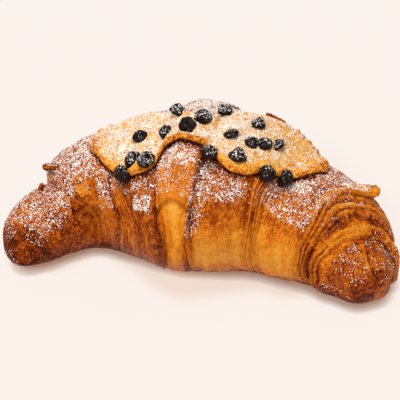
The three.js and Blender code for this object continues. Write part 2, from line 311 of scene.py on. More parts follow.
def foldRelief(fold, station, pressed=0.0):  # pressed: how flat its leaves lie, under the paste
    side, edge, band, half, ends = fold
    past = side * (station - edge)
    if past <= 0:
        rise = math.sin(math.pi / 2 * clamp(1 + past / dough["lipReach"]))
        roll = 0.4 * clamp(1 + past / dough["lipRound"]) ** 2
        return half * (rise - roll)
    if past < band:
        leaf, through = leafAt(ends, past / band)
        step = (leaf + smoothstep(through, dough["leafFlat"], 1)) / (len(ends) - 1)
        step = lerp(step, past / band, pressed)
        wide = band * (ends[leaf + 1] - ends[leaf])
        tall = dough["leafHump"][0 if side < 0 else 1] * (1 - pressed)
        if len(ends) == 2:
            tall *= dough["singleHump"]
        hump = tall * min(1, wide / 1.5) * math.sin(math.pi * through)
        return lerp(0.6 * half, -1.2 * half, step) + hump
    return -1.2 * half * math.exp((band - past) / (0.45 * dough["lipReach"]))


def tongueRelief(height, station, angle, here):
    left = here[tongue["left"]][1]
    right = here[tongue["right"]][1]
    across = (station - left) / (right - left)
    if angle < 0 or across < 0 or across > 1:
        return height, 0.0
    bulge = math.sin(math.pi * across) ** 0.7
    under = -tongue["drop"] * (1 - 0.5 * bulge)
    foot = tongue["swell"] * bulge - 0.8
    pillow = lerp(under, foot, smoothstep(angle, 66, 100))
    arch = tongue["arch"] * (1 - bulge)
    bare = smoothstep(angle, tongue["from"] + arch, tongue["to"] + arch)
    return lerp(height, pillow, bare), bare


def tipRollRelief(station, angle):
    if station < tipRoll["from"]:
        return 0.0
    behind = smoothThrough(tipRoll["seam"], station) - angle
    if behind <= 0 or behind > 180:
        return 0.0
    started = smoothstep(station, tipRoll["from"], tipRoll["from"] + 5)
    return -tipRoll["drop"] * started * math.exp(-behind / tipRoll["fade"])


# The outer leaf of the left tip: the stations of its edge at some angles, and the neck behind it.
cuff = {
    "edge": [(-45, -69), (-9, -68.5), (21, -67.5), (59, -68.5), (93, -62.5), (125, -53)],
    "drop": 1.2,
    "reach": 7,
    "lift": 0.9,
}


def pastCuff(station, angle):  # how far behind the cuff's edge, and how much of the cuff there is
    if station > -30 or not -90 < angle < 128:
        return 50.0, 0.0
    shown = smoothstep(angle, -90, -60) * (1 - smoothstep(angle, 105, 128))
    return station - smoothThrough(cuff["edge"], clamp(angle, -45, 125)), shown


def cuffRelief(station, angle):
    past, shown = pastCuff(station, angle)
    if past <= 0:
        return shown * cuff["lift"] * math.exp(past / cuff["reach"])
    fallen = lerp(cuff["lift"], -cuff["drop"], smoothstep(past, 0, 0.9))
    return shown * fallen * math.exp(-past / cuff["reach"])


paste = {
    "ends": (-52, 49.2),
    "front": [
        (-52, 10), (-50, 18), (-47.5, 26), (-44, 31), (-40, 34), (-34, 35), (-25, 33), (-20, 28),
        (-15.5, 18), (-10, 15), (-3.5, 16.5), (3.5, 19.5), (10.5, 27), (16, 31), (22, 30),
        (28, 23.5), (34, 18), (42, 11), (46, 3.5), (49.2, -6),
    ],
    "back": [
        (-52, -14), (-50, -22), (-46, -28), (-38, -30), (-28, -21), (-18, -13), (-11, -5.5),
        (-4, -3), (4, -7), (10, -16), (22, -26), (34, -38), (42, -45), (49.2, -40),
    ],
    "thickness": 6,
    "skirt": 2.6,
    "seat": 2.5,
    "root": 3.4,
    "lumps": 0.7,
    "side": 0.82,  # the lower, the steeper its rim
    "dome": 0.88,  # the lower, the flatter its top
    "fullness": [(-52.5, 0.95), (-44, 0.97), (-30, 0.85), (-15, 0.95), (8, 1), (20, 0.8), (49.2, 0.72)],
    "sugar": [(-52.5, 0.48), (-40, 0.52), (-20, 0.52), (10, 0.54), (28, 0.44), (40, 0.35), (50, 0.3)],
    "bareRim": [(-52, 5), (-40, 7.5), (-25, 6.5), (-14, 3.5), (2, 3.5), (10, 6), (28, 8), (45, 5)],
    "bareBehind": 1.2,
    "bakeAndShade": (0.22, 0.27, 0.5, 0.14),  # how dark: all over, at the rim (baked and painted shade), underneath (painted shade), how uneven
    "rows": 200,
    "columns": 140,
}


def pasteAt(station):
    start, end = paste["ends"]
    along = clamp((2 * station - start - end) / (end - start), -1, 1)
    closing = math.sqrt(1 - along ** 10)
    return along, closing, smoothThrough(paste["front"], station), smoothThrough(paste["back"], station)


def pressedAt(station, angle):  # how much of the paste's weight lies on the crown, 0 to 1
    along, closing, front, back = pasteAt(station)
    across = abs(angle - (front + back) / 2) / max(0.01, (front - back) / 2 * closing)
    return (1 - smoothstep(across, 0.5, 0.9)) * (1 - along ** 8)


def relief(station, angle):
    turned = math.radians(angle)
    here = foldsAt(angle)
    pressed = pressedAt(station, angle)
    height = sum(foldRelief(fold, station, pressed) for fold in here)
    height, bare = tongueRelief(height, station, angle, here)
    height += tipRollRelief(station, angle)
    waves = math.sin(station / 5.3 + 2 * math.sin(3 * turned)) * math.sin(4 * turned + station / 9)
    height += dough["uneven"] * waves
    faded = (1 - smoothstep(abs(angle), 130, 165)) * (1 - 0.85 * smoothstep(angle, 98, 122))
    return height * faded * min(1, 1.6 * tipClosing(station)) - paste["seat"] * pressed


def crustPoint(station, angle, lift=0.0, more=0.0):  # a point of the crust, or at a height over it
    x, y, heading = spineAt(station)
    closing = tipClosing(station)
    fullWidth = smoothThrough(dough["halfWidths"], station)
    halfWidth = fullWidth * closing
    out = relief(station, angle) + more + lift * min(1, 5 * closing)
    power = smoothThrough(dough["backPower"], station) if angle < -90 else 1
    sin = signedPower(math.sin(math.radians(angle)), power)
    cos = signedPower(math.cos(math.radians(angle)), power)
    reach = smoothThrough(dough["frontReach"], station) * closing * max(0, sin)
    across = -(halfWidth + out + reach) * sin
    share = dough["crownShare"] if cos > 0 else dough["bellyShare"]
    tall = (share * halfWidth + out) * cos
    height = max(dough["spineShare"] * fullWidth + tall, -max(0, lift))
    return Vector((x - math.sin(heading) * across, y + math.cos(heading) * across, height)) + footprint


crust = {
    "columns": 250,
    "topBias": 24,  # degrees by which the columns crowd towards the top
    "rowsPerLeaf": 5,
    "rowStep": 0.95,
    "capRows": (54, 32),  # of the left and the right tip
    "blister": 0.45,  # mm
    "blisterSize": 7,
    "streak": 0.16,
    "streakSize": 1.1,
    "scar": 0.22,
    "ragged": 0.9,  # unevenness of the lower edge
}

# Loose flakes that stand off the crust, as in the part's source: where each is rooted (station, angle
# and lift), where it points, its length, width and thickness, bend and flare, how dark and how
# sugared it is. The last is in the scene only.
flakes = [
    ((59, -26, 0.3), (0.98, 0.1, -0.14), (17, 5, 4.2), 0.03, 0.35, 0.36, 0.55),
    ((-66, -22, -0.6), (-0.98, -0.15, 0), (7, 3.4, 2.8), 0, 0, 0.7, 0.45),
    ((-73, -40, -0.6), (0.35, 0.25, 0.9), (6, 3, 2.2), 0, 0, 0.7, 0.45),
    ((-58, 32, -0.5), (-0.75, -0.5, -0.42), (6, 6, 1.8), 0, 0.1, 0.36, 0.3),
    ((21, -39, 1.8), (0.93, -0.05, -0.36), (10, 3, 2.4), 0.03, 0, 0.6, 0),
]
flakeRoot = 0.2  # share of a flake's length that lies inside the crust

# How dark each wrap is baked, from the left tip to the right one, at these angles round the roll.
# Under the roll (116 and 132) the darker tones are partly baked crust and partly painted shade where it
# meets the floor.
toneAngles = [-120, -50, 0, 35, 50, 62, 78, 98, 116, 132]
wrapTones = [
    [0.64, 0.62, 0.60, 0.66, 0.72, 0.76, 0.76, 0.74, 0.84, 1.00],
    [0.62, 0.60, 0.60, 0.62, 0.62, 0.62, 0.62, 0.60, 0.72, 0.95],
    [0.60, 0.60, 0.60, 0.60, 0.60, 0.60, 0.54, 0.48, 0.62, 0.95],
    [0.60, 0.58, 0.55, 0.38, 0.30, 0.40, 0.46, 0.45, 0.62, 0.95],
    [0.60, 0.60, 0.60, 0.58, 0.61, 0.55, 0.14, 0.00, 0.34, 0.95],
    [0.60, 0.60, 0.58, 0.56, 0.50, 0.30, 0.18, 0.12, 0.36, 0.95],
    [0.62, 0.60, 0.56, 0.54, 0.52, 0.50, 0.48, 0.52, 0.64, 0.95],
    [0.64, 0.62, 0.60, 0.60, 0.62, 0.64, 0.66, 0.68, 0.80, 1.00],
]

# Places that are darker or paler than the rest of their wrap: from and to a station, from and to an
# angle, and how much.
tonePatches = [
    (-99, -90, -120, 140, 0.2),
    (-99.5, -95, -100, -15, 0.6),  # burnt opening of the left tip
    (-64, -46, 60, 120, -0.18),
    (26, 30, 55, 112, 0.14),
    (-1.5, 0.8, 62, 118, 0.26),
    (56, 64, 55, 112, 0.1),
    (-61, -55, 29, 43, -0.2),  # pale flake beside the first fold
    (10, 21, 70, 112, 0.13),
    (5, 11, -64, -24, 0.08),
    (-16, -11, 62, 110, 0.14),
    (70.5, 74.5, -20, 100, -0.24),  # smooth strip before the right tip
    (66, 70, 20, 75, -0.12),
    (88, 92, -60, 130, 0.15),
]

# Where the icing sugar lies on the crust: from and to a station, from and to an angle, how thick.
cuffDustings = [  # these stop at the edge of the cuff
    (-89, -66, -75, 46, 0.37),
    (-92, -66, -80, 54, 0.27),
]
dustings = [
    (-84, -69, -20, 30, 0.40),
    (-99, -97.5, -90, -40, 0.38),
    (-68, -48, -80, 26, 0.42),
    (-60, -49, -40, 12, 0.47),
    (-52, -46, 22, 72, 0.43),
    (-47, -33, 28, 48, 0.33),
    (-33, -19, 26, 46, 0.38),
    (-30, -21, 50, 59, 0.54),
    (-18, -1, 10, 29, 0.52),
    (-18, -1, 29, 47, 0.34),
    (-1, 4, 40, 76, 0.41),
    (0, 22, 24, 50, 0.4),
    (20, 32, 25, 45, 0.25),
    (32, 58, -80, 44, 0.4),
    (38, 50, -20, 22, 0.47),
    (56, 67, -60, 30, 0.24),
    (76, 88, 8, 64, 0.30),
    (76, 88, -70, -8, 0.27),
    (72, 86, 104, 118, 0.44),
    (-50, 34, -50, -8, 0.5),
    (-20, 4, -62, -12, 0.57),
]
dustMargin = (2.5, 5)  # over which the sugar thins out, mm and degrees
dustBehind = {"from": -45, "margin": 45}  # patches that reach behind this angle thin out more slowly
dustStray = {"mm": (2, 14), "degrees": (5, 34)}  # how far their edges wander, in front and behind


def rowShares(count):  # closer together towards both ends
    shares = [k / count for k in range(count)]
    return [lerp(share, (1 - math.cos(math.pi * share)) / 2, 0.4) for share in shares]


def bandSpan(fold):
    side, edge, band = fold[:3]
    return (edge, edge + band) if side > 0 else (edge - band, edge)


def rowStations(angle):  # the rows follow the folds' edges, so that each leaf is crisp
    here = foldsAt(angle)
    middle = foldsAt(0.0)
    leftCaps, rightCaps = crust["capRows"]
    start = -dough["leftArm"]["length"]
    end = bandSpan(here[0])[0]
    rows = [lerp(start, end, 1 - math.cos(math.pi / 2 * k / leftCaps)) for k in range(leftCaps)]
    for place, fold in enumerate(here):
        side, edge, band, half, ends = fold
        parts = crust["rowsPerLeaf"]
        leaves = zip(ends, ends[1:])
        shares = [lerp(low, high, part / parts) for low, high in leaves for part in range(parts)]
        if side > 0:
            rows += [edge + band * share for share in shares]
        else:
            rows += [edge - band * share for share in reversed(shares + [1.0])][:-1]
        if place == len(here) - 1:
            break
        typical = bandSpan(middle[place + 1])[0] - bandSpan(middle[place])[1]
        count = max(4, round(typical / crust["rowStep"]))
        start = bandSpan(fold)[1]
        end = bandSpan(here[place + 1])[0]
        rows += [lerp(start, end, share) for share in rowShares(count)]
    start = bandSpan(here[-1])[1]
    end = dough["rightArm"]["length"]
    rows += [lerp(start, end, math.sin(math.pi / 2 * k / rightCaps)) for k in range(rightCaps + 1)]
    return rows


def shapedSphere(rows, columns, place):  # a sphere whose rows and columns go where place says
    bm = bmesh.new()
    for name in ("bakeAndShade", "leafy", "sugar"):
        bm.verts.layers.float.new(name)
    bm.verts.layers.float_vector.new("grain")
    bmesh.ops.create_uvsphere(bm, u_segments=columns, v_segments=rows, radius=1)
    spots = []
    for vert in bm.verts:
        x, y, z = vert.co
        row = round(math.atan2(math.hypot(x, y), z) / math.pi * rows)
        column = round(math.atan2(y, x) / (2 * math.pi) * columns) % columns
        vert.co = place(row, column) * mm
        spots.append((vert, row, column))
    return bm, spots


def streakNoise(along, angle, across, round_):
    turned = math.radians(angle)
    return noise.noise(Vector((along / across, math.cos(turned) * round_, math.sin(turned) * round_)))


def fineRelief(rail, station, angle):  # blisters, layer lines and the scars of lost flakes
    turned = math.radians(angle)
    halfWidth = smoothThrough(dough["halfWidths"], station)
    spot = Vector((station, halfWidth * math.cos(turned), halfWidth * math.sin(turned)))
    faded = 1 - smoothstep(abs(angle), 125, 155)
    leafy = leafiness(station, angle)
    blister = crust["blister"] * noise.noise(spot / crust["blisterSize"])
    blister += 0.4 * crust["blister"] * noise.noise(spot / 2.6)
    streak = crust["streak"] * (0.35 + leafy) * streakNoise(rail, angle, crust["streakSize"], 2.5)
    scar = streakNoise(rail + 40, angle, 5, 9)
    scar = crust["scar"] * smoothstep(scar, 0.02, 0.1)
    low = smoothstep(angle, 96, 112) * (1 - smoothstep(angle, 125, 140))
    ragged = crust["ragged"] * low * noise.noise(Vector((station / 3.4, angle / 22, 5)))
    whole = blister + streak - scar + cuffRelief(station, angle)
    return (whole * faded + ragged) * min(1, 2 * tipClosing(station))


def leafiness(station, angle):  # 1 in the leafy bands, less beside them, 0 on smooth dough
    most = 0.0
    for side, edge, band, half, ends in foldsAt(angle):
        past = side * (station - edge)
        if past > 0:
            near = 1 if past < band else math.exp((band - past) / 4)
        else:
            near = 0.8 * math.exp(past / 5)
        most = max(most, near)
    return most


@lru_cache(maxsize=None)
def tonesAt(angle):
    return [smoothThrough(list(zip(toneAngles, tones)), angle) for tones in wrapTones]


# How dark the places are baked that aren't in the tables above, and the painted shade and highlights.
bakeAndShadeSet = {
    "wrapBlend": 0.5,  # mm over which the tone of one wrap becomes that of the next
    "patchMargin": (1.5, 8),  # over which a patch fades, mm and degrees
    "lip": (0.12, 5),  # how much the dough darkens towards a fold, and over how many mm
    "shadeFade": 2,
    "singleFade": 3.5,  # the same beside a fold of one leaf
    "leafDrift": 0.3,
    "brightEdge": 0.6,
    "tongue": (0.2, 0.5),  # the tongue's foot, upper and lower part
    # painted shadow along the arch at the tongue's top, and a painted highlight just under it
    "tongueArchShadow": 0.6,
    "tongueTopHighlight": 0.14,
    # painted shadow behind the cuff's edge, and paler just before it
    "cuffEdge": 0.14,
    # painted shadow on the crust along the paste's rim
    "pasteRimShadow": 0.5,
    "tipSeam": 0.35,
}


def foldBakeAndShade(fold, here, station, angle):  # how much darker a fold makes the crust
    side, edge, band, half, ends = here
    past = side * (station - edge)
    # before its edge the lip bakes darker towards the fold, and its rounded crest gets a painted highlight
    if past <= 0:
        dark, reach = bakeAndShadeSet["lip"]
        return dark * clamp(1 + past / reach) - fold["crest"] * smoothstep(past, -1.1, -0.3)
    single = fold["leaves"] == 1
    if past < band:
        leaf, through = leafAt(ends, past / band)
        # in its leaves: painted crease shade in the grooves between them, and a painted highlight on each
        # crest
        groove = 1 - smoothstep(through, 0, 0.3) + smoothstep(through, 0.72, 1)
        creaseShade = clamp(0.6 + 1.3 * streakNoise(9.7 * leaf + 3 * len(ends), angle, 1, 2.6))
        dark = 0.5 + 0.5 * creaseShade if single else creaseShade * groove
        drift = bakeAndShadeSet["leafDrift"] * streakNoise(7.3 * leaf + len(ends), angle, 1, 1.3)
        return fold["creaseShade"] * dark - fold["crest"] * math.sin(math.pi * through) ** 2 + drift
    # past its leaves: painted shade on the dough beside the fold
    creaseShade = clamp(0.7 + 1.2 * streakNoise(len(ends), angle, 1, 2.2))
    fade = bakeAndShadeSet["singleFade"] if single else bakeAndShadeSet["shadeFade"]
    tone = fold["shade"] * creaseShade * math.exp((band - past) / fade)
    if "bright" in fold:
        bright = math.exp(-((past - band - 0.5) / 0.5) ** 2)
        tone -= bakeAndShadeSet["brightEdge"] * bright * within(angle, *fold["bright"], 8)
    return tone


def bakeAndShadeAt(station, angle):  # how dark the crust is baked, with painted shade and highlights added, 0 to 1
    here = foldsAt(angle)
    tones = tonesAt(angle)
    tone = tones[0]
    blend = bakeAndShadeSet["wrapBlend"]
    for place, fold in enumerate(here):
        tone = lerp(tone, tones[place + 1], smoothstep(station, fold[1] - blend, fold[1] + blend))
    bare = tongueRelief(0, station, angle, here)[1]
    tone = lerp(tone, lerp(*bakeAndShadeSet["tongue"], smoothstep(angle, 92, 118)), bare)
    # painted shadow along the tongue's arch, and a painted highlight just under it
    tone += bakeAndShadeSet["tongueArchShadow"] * bare * (1 - bare)
    tone -= bakeAndShadeSet["tongueTopHighlight"] * bare * (1 - smoothstep(angle, 62, 72))
    margin, turnMargin = bakeAndShadeSet["patchMargin"]
    for low, high, start, end, more in tonePatches:
        tone += more * within(station, low, high, margin) * within(angle, start, end, turnMargin)
    tone += sum(foldBakeAndShade(fold, spot, station, angle) for fold, spot in zip(folds, here))
    past, shown = pastCuff(station, angle)
    # painted shadow behind the cuff's edge, and paler just before it
    tone += bakeAndShadeSet["cuffEdge"] * shown * (math.exp(-past / 1.5) if past > 0 else -math.exp(past / 0.8))
    # painted shadow on the crust beside the paste's rim
    tone += bakeAndShadeSet["pasteRimShadow"] * besidePaste(station, angle)
    if station > tipRoll["from"] and -60 < angle < 30:
        started = smoothstep(station, tipRoll["from"], tipRoll["from"] + 3)
        behind = smoothThrough(tipRoll["seam"], station) - angle
        seam = math.exp(-behind / 6) if behind > 0 else -math.exp(behind / 4)
        tone += bakeAndShadeSet["tipSeam"] * started * seam
    return clamp(tone)


def besidePaste(station, angle):  # 1 at the rim of the paste, fading away from it
    start, end = paste["ends"]
    if abs(angle) > 60 or not start < station < end:
        return 0.0
    along, closing, front, back = pasteAt(station)
    past = abs(angle - (front + back) / 2) - (front - back) / 2 * closing
    past *= math.radians(smoothThrough(dough["halfWidths"], station))
    return math.exp(-max(0, past) / 1.6)


def thickestDust(patches, station, angle):
    margin, turnMargin = dustMargin
    cover = 0.0
    for low, high, start, end, thick in patches:
        slow = dustBehind["margin"] if start < dustBehind["from"] else turnMargin
        thick *= within(station, low, high, margin) * (1 - smoothstep(angle, end, end + turnMargin))
        cover = max(cover, thick * smoothstep(angle, start - slow, start))
    return cover


def sugarAt(station, angle):
    past, shown = pastCuff(station, angle)
    onCuff = 1 - shown * smoothstep(past, -0.2, 0.4)
    bare = 1 - 0.5 * besidePaste(station, angle)
    backward = smoothstep(-angle, 15, 80)
    spot = Vector((station / 6, angle / 16, 9))
    station += lerp(*dustStray["mm"], backward) * noise.noise(spot)
    angle += lerp(*dustStray["degrees"], backward) * noise.noise(spot + Vector((5, 5, 5)))
    cover = thickestDust(dustings, station, angle)
    return bare * max(cover, onCuff * thickestDust(cuffDustings, station, angle))


def layersOf(bm, *names):
    layers = bm.verts.layers
    return [layers.float_vector[name] if name == "grain" else layers.float[name] for name in names]


def addFlake(bm, root, toward, size, bend, flare, darkness, sugared):  # it starts inside the crust
    length, width, thickness = size
    forward = Vector(toward).normalized()
    station, angle, lift = root
    outward = (crustPoint(station, angle, 2) - crustPoint(station, angle)).normalized()
    across = outward.cross(forward).normalized()
    upward = forward.cross(across)
    middle = crustPoint(station, angle) + outward * lift + forward * (0.5 - flakeRoot) * length
    made = bmesh.ops.create_uvsphere(bm, u_segments=28, v_segments=22, radius=1)["verts"]
    bakeAndShade, sugar, grain = layersOf(bm, "bakeAndShade", "sugar", "grain")
    for vert in made:
        x, y, z = (signedPower(value, 0.62) for value in vert.co)
        uneven = noise.noise(Vector((x * length / 4, y * width / 3, station)))
        uneven += 0.8 * noise.noise(Vector((x * length / 1.6, z * 2, y * width / 1.6 + station)))
        flared = 1 + 0.45 * uneven + flare * smoothstep(x, 0.2, 0.9)
        wide = y * width / 2 * flared
        tall = z * thickness / 2 * flared + bend * length * (x * x - 0.3)
        vert.co = (middle + forward * x * length / 2 + across * wide + upward * tall) * mm
        vert[bakeAndShade] = clamp(darkness + 0.3 * uneven)
        vert[sugar] = sugared * smoothstep(z, -0.2, 0.5) * (1 - smoothstep(x, 0.3, 0.6))
        vert[grain] = Vector((3 * z + station, y * width, x * length))


def buildCrust(material):
    columns = crust["columns"]
    shares = [1 - 2 * column / columns for column in range(columns)]
    angles = [180 * share - crust["topBias"] * math.sin(math.pi * share) for share in shares]
    stations = [rowStations(angle) for angle in angles]
    rows = len(stations[0]) - 1
    rail = rowStations(45.0)  # names each row by its station at one angle, for what follows the rows

    def place(row, column):
        station = stations[column][row]
        angle = angles[column]
        return crustPoint(station, angle, more=fineRelief(rail[row], station, angle))

    bm, spots = shapedSphere(rows, columns, place)
    bakeAndShade, leafy, sugar, grain = layersOf(bm, "bakeAndShade", "leafy", "sugar", "grain")
    faceOutwards(bm)
    for vert, row, column in spots:
        station = stations[column][row]
        angle = angles[column]
        turned = math.radians(angle)
        drift = 1 + 0.22 * noise.noise(vert.co / mm / 5) + 0.2 * noise.noise(vert.co / mm / 2)
        vert[bakeAndShade] = bakeAndShadeAt(station, angle)
        vert[leafy] = leafiness(station, angle)
        vert[sugar] = sugarAt(station, angle) * drift * smoothstep(vert.normal.z, -0.3, 0.2)
        vert[grain] = Vector((rail[row], 30 * math.cos(turned), 30 * math.sin(turned)))
    for flake in flakes:
        addFlake(bm, *flake)
    print("crust:", rows, "rows", columns, "columns", len(bm.faces), "faces")
    return objectFrom(bm, "croissantCrust", material)


def noiseOf(tree, scale, detail, roughness, vector=None):  # on the object's coordinates by default
    node = addNode(tree, "ShaderNodeTexNoise")
    setInputs(node, Scale=scale, Detail=detail, Roughness=roughness)
    vector = vector or addNode(tree, "ShaderNodeTexCoord").outputs["Object"]
    tree.links.new(vector, node.inputs["Vector"])
    return node.outputs["Fac"]


def attributeOf(tree, name):
    return addNode(tree, "ShaderNodeAttribute", attribute_name=name).outputs["Fac"]


def weigh(tree, value, weight, added):  # value * weight + added; each a socket or a number
    node = addNode(tree, "ShaderNodeMath", operation="MULTIPLY_ADD")
    for socket, given in zip(node.inputs, (value, weight, added)):
        if isinstance(given, (int, float)):
            socket.default_value = given
        else:
            tree.links.new(given, socket)
    return node.outputs[0]


def addUp(tree, total, *parts):  # the total and each value times its weight
    for value, weight in parts:
        total = weigh(tree, value, weight, total)
    return total


def rampOf(tree, tone, stops):
    ramp = addNode(tree, "ShaderNodeValToRGB")
    elements = ramp.color_ramp.elements
    while len(elements) < len(stops):
        elements.new(0.5)
    for element, (position, colour) in zip(elements, stops):
        element.position = position
        element.color = (*colour, 1)
    tree.links.new(tone, ramp.inputs[0])
    return ramp.outputs[0]


def groupTree(name, inputs, outputs):
    tree = bpy.data.node_groups.new(name, "ShaderNodeTree")
    for label, value in inputs.items():
        socket = tree.interface.new_socket(name=label, in_out="INPUT", socket_type="NodeSocketFloat")
        socket.default_value = value
    for label in outputs:
        tree.interface.new_socket(name=label, in_out="OUTPUT", socket_type="NodeSocketFloat")
    return tree, addNode(tree, "NodeGroupOutput")


sugarDust = {
    "specks": (1380, 1, 0.6),  # scale, detail and roughness of the noise
    "clumps": (420, 1, 0.5),
    "clumpShare": 0.4,
    "level": (-0.62, 1.02),  # how far the noise has to reach, by how thick the sugar lies
    "edge": 0.04,  # how soft a speck's edge is
}


def makeSugarDust():  # specks of icing sugar, where Cover says how thickly it lies
    tree, out = groupTree("sugarDust", {"Cover": 0.5}, ["Mask"])
    cover = addNode(tree, "NodeGroupInput").outputs["Cover"]
    clumps = noiseOf(tree, *sugarDust["clumps"])
    both = weigh(tree, clumps, sugarDust["clumpShare"], noiseOf(tree, *sugarDust["specks"]))
    level = weigh(tree, cover, *sugarDust["level"])
    high = weigh(tree, level, 1.0, sugarDust["edge"])
    mask = addNode(tree, "ShaderNodeMapRange", interpolation_type="SMOOTHSTEP")
    for name, value in (("Value", both), ("From Min", level), ("From Max", high)):
        tree.links.new(value, mask.inputs[name])
    tree.links.new(mask.outputs["Result"], out.inputs["Mask"])
    return tree


layerLines = {  # how closely each kind is packed along and round the roll, per mm
    "Lines": (1.6, 0.10, 0.10),
    "Flecks": (1.9, 0.42, 0.42),
    "Broad": (0.45, 0.06, 0.06),
}


def makeLayerLines():  # thin lines that run round the roll, as its layers do
    tree, out = groupTree("layerLines", {}, layerLines)
    spot = addNode(tree, "ShaderNodeAttribute", attribute_name="grain")
    for name, packed in layerLines.items():
        stretched = addNode(tree, "ShaderNodeMapping")
        setInputs(stretched, Scale=packed)
        tree.links.new(spot.outputs["Vector"], stretched.inputs["Vector"])
        tree.links.new(noiseOf(tree, 1, 3, 0.62, stretched.outputs[0]), out.inputs[name])
    return tree


def newMaterial(name, plain):  # plain: the shader's values that are the same all over
    material = bpy.data.materials.new(name)
    material.use_nodes = True
    shader = material.node_tree.nodes["Principled BSDF"]
    setInputs(shader, **plain)
    return material, material.node_tree, shader


def addDust(tree, shader, dust, colour, sugar):  # colours the shader, with sugar over the colour
    node = addNode(tree, "ShaderNodeGroup", node_tree=dust)
    tree.links.new(attributeOf(tree, "sugar"), node.inputs["Cover"])
    mixed = addNode(tree, "ShaderNodeMix", data_type="RGBA")
    tree.links.new(node.outputs["Mask"], mixed.inputs[0])
    tree.links.new(colour, mixed.inputs[6])
    mixed.inputs[7].default_value = (*sugar, 1)
    tree.links.new(mixed.outputs[2], shader.inputs["Base Color"])
    return node.outputs["Mask"]


def addBump(tree, shader, height, strength, distance):
    bump = addNode(tree, "ShaderNodeBump")
    setInputs(bump, Strength=strength, Distance=distance)
    tree.links.new(height, bump.inputs["Height"])
    tree.links.new(bump.outputs[0], shader.inputs["Normal"])


crustFinish = {
    "shader": {"Specular IOR Level": 0.14, "Specular Tint": (1.0, 0.62, 0.30, 1)},
    "stops": [
        (0.00, (0.86, 0.38, 0.048)),
        (0.16, (0.80, 0.28, 0.018)),
        (0.34, (0.70, 0.19, 0.008)),
        (0.50, (0.52, 0.112, 0.005)),
        (0.66, (0.36, 0.058, 0.003)),
        (0.82, (0.22, 0.026, 0.002)),
        (1.00, (0.055, 0.006, 0.001)),
    ],
    "sugar": (0.98, 0.88, 0.79),
    "roughness": 0.32,
    "blotch": (110, 4, 0.6),  # scale, detail and roughness of the noise
    "mottle": (420, 4, 0.65),
    "pores": (1300, 3, 0.65),
    "tone": {"broad": 0.5, "blotch": 0.4, "mottle": 1.1, "pores": 1.3, "flecks": 1.2},
    "lines": (0.45, 0.2),  # how strongly the layer lines show: more on leafy dough, and everywhere
    "height": {"mottle": 0.9, "pores": 0.4, "sugar": 0.4},
    "bump": (1.0, 0.0009),  # strength and distance
}


def makeCrustMaterial(dust, lines):
    material, tree, shader = newMaterial("bakedCrust", crustFinish["shader"])
    darkness = attributeOf(tree, "bakeAndShade")
    layer = addNode(tree, "ShaderNodeGroup", node_tree=lines).outputs
    blotch, mottle, pores = (noiseOf(tree, *crustFinish[name]) for name in ("blotch", "mottle", "pores"))
    share = crustFinish["tone"]
    depth = weigh(tree, attributeOf(tree, "leafy"), *crustFinish["lines"])
    grainy = weigh(tree, darkness, 1.0, 0.35)  # pale dough is smoother than brown crust
    thin = weigh(tree, layer["Lines"], 1.0, -0.5)
    wide = weigh(tree, layer["Broad"], 1.0, -0.5)
    middle = -0.5 * (share["mottle"] + share["pores"] + share["flecks"])
    parts = (mottle, share["mottle"]), (pores, share["pores"]), (layer["Flecks"], share["flecks"])
    flecks = addUp(tree, middle, *parts)
    parts = (thin, depth), (wide, share["broad"]), (blotch, share["blotch"]), (flecks, grainy)
    tone = weigh(tree, addUp(tree, darkness, *parts), 1.0, -0.5 * share["blotch"])
    colour = rampOf(tree, tone, crustFinish["stops"])
    mask = addDust(tree, shader, dust, colour, crustFinish["sugar"])
    rough = addUp(tree, crustFinish["roughness"], (mask, 0.45), (pores, 0.2))
    tree.links.new(rough, shader.inputs["Roughness"])
    high = crustFinish["height"]
    parts = (layer["Lines"], depth), (mottle, high["mottle"]), (pores, high["pores"]), (mask, high["sugar"])
    addBump(tree, shader, addUp(tree, 0.0, *parts), *crustFinish["bump"])
    return material


pasteFinish = {
    "shader": {"Specular IOR Level": 0.12, "Specular Tint": (1.0, 0.7, 0.4, 1)},
    "stops": [
        (0.00, (0.92, 0.52, 0.12)),
        (0.25, (0.90, 0.41, 0.055)),
        (0.50, (0.76, 0.24, 0.022)),
        (0.70, (0.46, 0.10, 0.008)),
        (0.92, (0.14, 0.025, 0.004)),
    ],
    "sugar": (0.95, 0.89, 0.80),
    "mottle": (260, 4, 0.65),
    "crumbs": (900, 3, 0.6),
    "tone": {"base": -1.46, "mottle": 0.8, "crumbs": 2.2},
    "roughness": (0.35, 0.5),  # more with sugar, and everywhere
    "height": {"mottle": 1.0, "crumbs": 0.5, "sugar": 0.5},
    "bump": (0.9, 0.0005),
}


def makePasteMaterial(dust):
    material, tree, shader = newMaterial("almondPaste", pasteFinish["shader"])
    mottle = noiseOf(tree, *pasteFinish["mottle"])
    crumbs = noiseOf(tree, *pasteFinish["crumbs"])
    share = pasteFinish["tone"]
    tone = addUp(tree, attributeOf(tree, "bakeAndShade"), (mottle, share["mottle"]), (crumbs, share["crumbs"]))
    colour = rampOf(tree, weigh(tree, tone, 1.0, share["base"]), pasteFinish["stops"])
    mask = addDust(tree, shader, dust, colour, pasteFinish["sugar"])
    tree.links.new(weigh(tree, mask, *pasteFinish["roughness"]), shader.inputs["Roughness"])
    high = pasteFinish["height"]
    parts = (mottle, high["mottle"]), (crumbs, high["crumbs"]), (mask, high["sugar"])
    addBump(tree, shader, addUp(tree, 0.0, *parts), *pasteFinish["bump"])
    return material


chocolateFinish = {
    "shader": {"Specular IOR Level": 0.19, "Specular Tint": (1.0, 0.85, 0.8, 1)},
    "stops": [(0.4, (0.003, 0.0015, 0.001)), (0.7, (0.022, 0.008, 0.005))],
    "sugar": (0.8, 0.75, 0.72),
    "mottle": (700, 4, 0.6),
    "roughness": (0.35, 0.12),
    "bump": (0.6, 0.0003),
}


